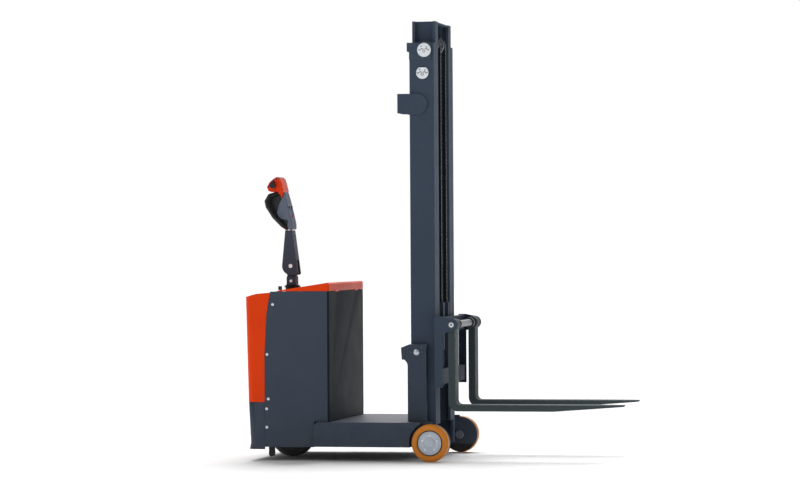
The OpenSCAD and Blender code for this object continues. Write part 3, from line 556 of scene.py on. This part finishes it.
def hidden_parts():
    for node, material, width in (
            ("battery", "black_plastic", 0.004),
            ("controller", "black_plastic", 0.002),
            ("power_pack", "motor_casting", 0.004),
            ("charger", "motor_casting", 0.003),
            ("traction_motor", "motor_casting", 0.004),
            ("lift_cylinder", "cylinder_black", 0.002),
            ("key_switch", "black_plastic", 0.001),
            ("front_axles", "bright_steel", 0.0015),
            ("stabiliser_feet", "black_rubber", 0.002),
            ("outer_rollers", "bright_steel", 0.003),
            ("inner_rollers", "bright_steel", 0.003),
            ("upper_rollers", "bright_steel", 0.003),
            ("lower_rollers", "bright_steel", 0.003),
            ("shaft_collars", "cylinder_black", 0.002),
            ("piston_rod", "chrome", 0.001),
            ("fork_shaft", "dark_steel", 0.002),
            ("sheaves", "bright_steel", 0.0015),
            ("drive_hub", "motor_casting", 0.003)):
        dressed(node, material, width)


# ---------- wheels ----------

def load_wheel(side, sign):
    """The tyre and hub of one load wheel. Distances run outwards along the axle."""
    low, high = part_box("tyre_" + side)
    middle_x, middle_z, radius = (low.x + high.x) / 2, (low.z + high.z) / 2, (high.z - low.z) / 2
    inner_y, outer_y = sorted((low.y, high.y), key=abs)
    width = abs(outer_y - inner_y)
    hub_low, hub_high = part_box("hub_" + side)
    hub_r = (hub_high.z - hub_low.z) / 2 + 0.0001
    centre, out = (middle_x, inner_y, middle_z), (0, sign, 0)

    tyre = fillet([(hub_r + 0.001, 0.002), (hub_r + 0.004, 0.0), (radius - 0.012, 0.0),
                   (radius - 0.002, 0.006),
                   (radius, width / 2), (radius - 0.002, width - 0.008), (radius - 0.010, width - 0.0005),
                   (hub_r + 0.006, width - 0.0005), (hub_r + 0.003, width - 0.004), (hub_r, width - 0.004),
                   (hub_r, 0.002), (hub_r + 0.001, 0.002)],
                  [0, 0.002, 0.012, 0.02, 0.2, 0.02, 0.012, 0.002, 0.002, 0, 0, 0], 5)
    obj = turned("tyre_%s_cast" % side, tyre, centre, out, 128, True)
    finish(obj, "wheel_" + side, "urethane", ("tyre_" + side,))

    face = width - 0.003
    hub = fillet([(0.0, face - 0.002), (0.009, face - 0.002), (0.011, face - 0.0005), (0.021, face - 0.0005),
                  (0.023, face - 0.004), (0.028, face - 0.004), (0.030, face - 0.0025),
                  (0.0435, face - 0.0025),
                  (0.0455, face - 0.004), (0.050, face - 0.004), (0.0525, face - 0.0005), (0.0555, face),
                  (0.0562, face - 0.0035), (hub_r - 0.0002, face - 0.0035), (hub_r - 0.0002, 0.004),
                  (hub_r - 0.004, 0.003),
                  (0.040, 0.003), (0.038, 0.006), (0.016, 0.006), (0.016, face - 0.0075),
                  (0.0, face - 0.0075)],
                 [0, 0, 0.001, 0.002] + [0.001] * 8 + [0, 0, 0, 0.001] + [0] * 5, 3)
    # A thin dark ring laid on the floor of the step in the hub face: painted shade.
    groove = turned("hub_%s_groove" % side, [(0.0564, face - 0.0034), (0.0564, face - 0.0028),
                                             (hub_r - 0.0004, face - 0.0028),
                                             (hub_r - 0.0004, face - 0.0034)],
                    centre, out, 128, True)
    finish(groove, "wheel_" + side, "painted_groove_shade")
    # A black disc over the tyre's inner face: painted shade on the side that faces away from the light.
    shade_disc = turned("dust_cover_%s" % side, [(0.030, -0.0004), (0.080, -0.0004), (0.084, -0.0010),
                                           (0.0835, -0.0018),
                                           (0.030, -0.0018)], centre, out, 128, True)
    finish(shade_disc, "wheel_" + side, "black_rubber")
    body = turned("hub_%s_face" % side, hub, centre, out, 128)
    finish(body, "wheel_" + side, "hub_silver", ("hub_" + side,))

    screws = []
    for i in range(5):
        a = math.radians(72 * i + 18)
        spot = Vector((middle_x + 0.037 * math.cos(a), inner_y, middle_z + 0.037 * math.sin(a)))
        screws.append(turned("screw", [(0, face - 0.0005), (0.0026, face - 0.0005), (0.0028, face + 0.0001),
                                       (0.0042, face + 0.0001), (0.0048, face - 0.0006),
                                       (0.0048, face - 0.0030)],
                             spot, out, 18))
    finish(join("hub_%s_screws" % side, screws), "wheel_" + side, "zinc")


def drive_tyre():
    low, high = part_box("drive_tyre")
    radius, width = (high.z - low.z) / 2, high.y - low.y
    inner = radius - 0.025
    profile = fillet([(inner, 0.001), (radius - 0.008, 0.0), (radius, 0.008), (radius, width - 0.008),
                      (radius - 0.008, width), (inner, width - 0.001), (inner, 0.001)],
                     [0, 0.006, 0.006, 0.006, 0.006, 0, 0], 4)
    centre = (middle("drive_tyre").x, low.y, middle("drive_tyre").z)
    obj = turned("drive_tyre_rubber", profile, centre, (0, 1, 0), 128)
    finish(obj, "drive_wheel", "drive_rubber", ("drive_tyre",))


# ---------- chains ----------

def link_plate(length, r=0.0085, waist=0.0068):
    """Outline of one chain plate along z, from the pin at 0 to the pin at length."""
    top = circle(0, length, r, 6, 0, 180)
    low = circle(0, 0, r, 6, 180, 180)
    return top + [(-waist, length / 2)] + low + [(waist, length / 2)]


def chain_mesh(name, pins):
    """Leaf chain through pin places (x, z), on both sides of the mast."""
    y_out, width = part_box("chain_front")[1].y, 0.016
    plate_w = width / 8
    bm = bmesh.new()
    for sign in (-1, 1):
        y0 = sign * (y_out - width / 2) - width / 2
        for i, (a, b) in enumerate(zip(pins, pins[1:])):
            step = Vector((b[0] - a[0], 0, b[1] - a[1]))
            turn = Matrix.Rotation(math.atan2(step.x, step.z), 4, "Y")
            place = Matrix.Translation((a[0], 0, a[1])) @ turn
            outline = link_plate(step.length)
            for k in ((0, 3, 4, 7) if i % 2 else (1, 2, 5, 6)):
                add_prism(bm, outline, y0 + k * plate_w + 0.00008, y0 + (k + 1) * plate_w - 0.00008, place)
        for x, z in pins:
            add_prism(bm, circle(x, z, 0.0030, 10), y0 - 0.0006, y0 + width + 0.0006)
    return smooth(from_bmesh(name, bm), 30)


def chains():
    front_low, front_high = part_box("chain_front")
    rear_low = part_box("chain_rear")[0]
    front_x = (front_low.x + front_high.x) / 2
    top = front_high.z
    half = (front_high.x - front_low.x) / 2
    rear_x = rear_low.x + half
    wheel_x, pitch_r = (front_x + rear_x) / 2, (front_x - rear_x) / 2

    count = round((top - front_low.z - half) / 0.01905)
    start = front_low.z + half
    pins = [(front_x, start + (top - start) * i / count) for i in range(count + 1)]
    run = chain_mesh("chain_front_links", pins)
    finish(run, "inner_mast", "chain_steel", ("chain_front",))
    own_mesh(run)

    pins = [(wheel_x + pitch_r * math.cos(math.pi * i / 6), top + pitch_r * math.sin(math.pi * i / 6))
            for i in range(7)]
    finish(chain_mesh("chain_wrap_links", pins), "inner_mast", "chain_steel")

    start = rear_low.z + half
    count = round((top - start) / 0.01905)
    pins = [(rear_x, start + (top - start) * i / count) for i in range(count + 1)]
    run = chain_mesh("chain_rear_links", pins)
    run.data.materials.clear()
    run.data.materials.append(MATERIALS["chain_steel"])
    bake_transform(run)
    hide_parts("chain_rear")


# ---------- fixings ----------

def screw_head(name, place, out, r, height, socket=True):
    """A round screw head with a socket, standing out of the surface at place."""
    profile = [(0.0, height * 0.5)] if socket else [(0.0, height)]
    if socket:
        profile += [(r * 0.42, height * 0.5), (r * 0.46, height)]
    profile += [(r * 0.80, height), (r * 0.97, height * 0.62), (r, height * 0.2), (r, -0.0005)]
    return turned(name, profile, place, out, 32)


def fixings():
    heads = []
    for part in islands("cover_screws"):
        c, size = part
        sign = 1 if c.y > 0 else -1
        base = Vector((c.x, c.y - sign * size.y / 2, c.z))
        heads.append(screw_head("head", base, (0, sign, 0), size.x / 2, size.y))
    finish(join("cover_screw_heads", heads), "chassis", "zinc", ("cover_screws",))

    heads, small = [], []
    for c, size in islands("post_bolts"):
        sign = 1 if c.y > 0 else -1
        base = Vector((c.x, c.y - sign * size.y / 2, c.z))
        if size.x > 0.02:
            r = size.x / 2
            heads.append(turned("washer", [(0.0, 0.002), (r - 0.001, 0.002), (r, 0.0012), (r, 0.0)], base,
                                (0, sign, 0), 40))
            bm = bmesh.new()
            low_y, high_y = sorted((base.y + sign * 0.002, base.y + sign * size.y))
            add_prism(bm, circle(c.x, c.z, r * 0.78, 6, 15), low_y, high_y)
            heads.append(round_edges(from_bmesh("hexagon", bm), 0.0010))
            heads.append(turned("dome", [(0.0, 0.0085), (r * 0.5, 0.0082), (r * 0.62, 0.0072)], base,
                                (0, sign, 0), 40))
        else:
            small.append(screw_head("small", base, (0, sign, 0), size.x / 2, size.y))
    finish(join("post_bolt_heads", heads), "chassis", "bright_steel", ("post_bolts",))
    finish(join("post_screw_heads", small), "chassis", "dark_steel")

    low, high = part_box("fork_shaft")
    heads = [screw_head("end", Vector(((low.x + high.x) / 2, sign * (high.y - 0.001), (low.z + high.z) / 2)),
                        (0, sign, 0), 0.0125, 0.0012) for sign in (-1, 1)]
    finish(join("fork_shaft_end_screws", heads), "carriage", "zinc")

    low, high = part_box("tiller_base")
    boot_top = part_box("tiller_boot")[1].z
    heads = [screw_head("bolt", Vector(((low.x + high.x) / 2, sign * high.y, boot_top + 0.018)), (0, sign, 0),
                        0.0072, 0.0012) for sign in (-1, 1)]
    finish(join("neck_bolt_heads", heads), "steer", "zinc")

    low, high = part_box("tiller_pin")
    centre = (low + high) / 2
    r = (high.z - low.z) / 2
    half = (high.y - low.y) / 2
    pin = turned("tiller_pin_turned", [(0.0, half - 0.001), (0.003, half - 0.001), (0.0036, half),
                                       (r - 0.001, half),
                                       (r, half - 0.001), (r, half - 0.005), (r - 0.002, half - 0.005),
                                       (r - 0.002, -half + 0.005), (r, -half + 0.005), (r, -half + 0.001),
                                       (r - 0.001, -half), (0.0036, -half), (0.003, -half + 0.001),
                                       (0.0, -half + 0.001)], centre, (0, 1, 0), 48)
    finish(pin, "tiller", "zinc", ("tiller_pin",))


def islands(node):
    """(centre, size) of each separate solid of a CAD node."""
    bm = bmesh.new()
    bm.from_mesh(NODES[node].data)
    bmesh.ops.remove_doubles(bm, verts=bm.verts[:], dist=2e-6)
    todo, out = set(bm.verts), []
    while todo:
        stack, seen = [todo.pop()], []
        while stack:
            v = stack.pop()
            seen.append(v.co.copy())
            for e in v.link_edges:
                o = e.other_vert(v)
                if o in todo:
                    todo.remove(o)
                    stack.append(o)
        lows = Vector((min(c[k] for c in seen) for k in range(3)))
        highs = Vector((max(c[k] for c in seen) for k in range(3)))
        out.append(((lows + highs) / 2, highs - lows))
    bm.free()
    return sorted(out, key=lambda p: (p[0].y, p[0].x, p[0].z))


def roller_caps():
    """Plated discs on the mast: rounded rim, a sunk centre, two small screws and a pressed rib pattern."""
    dressed("roller_caps", "zinc", 0.0012, 2)
    details, marks = [], []
    for c, size in islands("roller_caps"):
        if size.x < 0.05:
            continue
        sign = 1 if c.y > 0 else -1
        face = max(abs(c.y - size.y / 2), abs(c.y + size.y / 2)) * sign
        x = c.x
        z = c.z if size.z > 0.069 else c.z + 0.0031
        for dx, dz in ((-0.013, 0.014), (0.012, 0.010)):
            spot = Vector((x + dx, face - sign * 0.0006, z + dz))
            details.append(screw_head("s", spot, (0, sign, 0), 0.0042, 0.0016))
        ring = [(0.0045, -0.0004), (0.0045, 0.0005), (0.0068, 0.0005), (0.0068, -0.0004)]
        marks.append(turned("ring", ring,
                            Vector((x, face, z - 0.008)), (0, sign, 0), 32))
        for lean in (-1, 1):
            points = spline([Vector((x + lean * dx, face, z + dz)) for dx, dz in
                             ((0.004, 0.001), (0.012, 0.003), (0.020, -0.004), (0.026, 0.001))])
            marks.append(tube("rib", points, 0.0015, 8))
    finish(join("roller_cap_screws", details), "chassis", "bright_steel")
    finish(join("roller_cap_ribs", marks), "chassis", "cylinder_black")


# ---------- tiller ----------

def tiller_parts():
    dressed("tiller_head", "head_grey", 0.007, 5, shortest=0.009)
    dressed("head_cap", "orange_plastic", 0.005, 5, shortest=0.025)
    for node, material, width, segments in (("belly_button", "red_plastic", 0.0025, 3),
                                            ("lift_button", "black_plastic", 0.0015, 3),
                                            ("lower_button", "black_plastic", 0.0015, 3),
                                            ("horn_button", "orange_plastic", 0.0015, 3),
                                            ("throttle", "black_plastic", 0.0025, 3),
                                            ("key", "black_plastic", 0.001, 2)):
        dressed(node, material, width, segments)
    hand_guard()
    boot()


def hand_guard():
    """Black moulding with two rounded guards, one on each side of the driver's hand."""
    dressed("hand_guard", "black_plastic", 0.004, 3)


def boot():
    """Rubber boot round the steering column, with three folds above the cover."""
    low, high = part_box("tiller_boot")
    centre = ((low.x + high.x) / 2, 0, 0)
    r, top = (high.x - low.x) / 2, high.z
    bore = 0.0224
    foot = top - 0.013
    profile = [(bore, low.z), (r - 0.007, low.z), (r - 0.007, foot), (r, foot + 0.0005), (r, foot + 0.003),
               (r - 0.004, foot + 0.0045), (r - 0.0025, foot + 0.007), (r - 0.007, foot + 0.0085),
               (r - 0.006, foot + 0.011), (r - 0.012, top), (bore, top), (bore, low.z)]
    obj = turned("tiller_boot_folds", fillet(profile, 0.0012, 3), centre, (0, 0, 1), 72)
    finish(obj, "steer", "black_rubber", ("tiller_boot",))


def make_floor():
    bm = bmesh.new()
    bmesh.ops.create_grid(bm, x_segments=4, y_segments=4, size=60)
    obj = from_bmesh("floor", bm)
    n = Nodes("floor")
    tone = n.mix(n.spread(n.noise(1.4, 3), 0.3, 0.7), (0.93, 0.93, 0.93, 1), (0.95, 0.95, 0.95, 1))
    obj.data.materials.append(n.set(color=tone, rough=0.9, spec=0.0))


make_camera()
make_world()
make_lights()
steelwork()
hidden_parts()
load_wheel("left", 1)
load_wheel("right", -1)
drive_tyre()
chains()
fixings()
roller_caps()
tiller_parts()
make_floor()
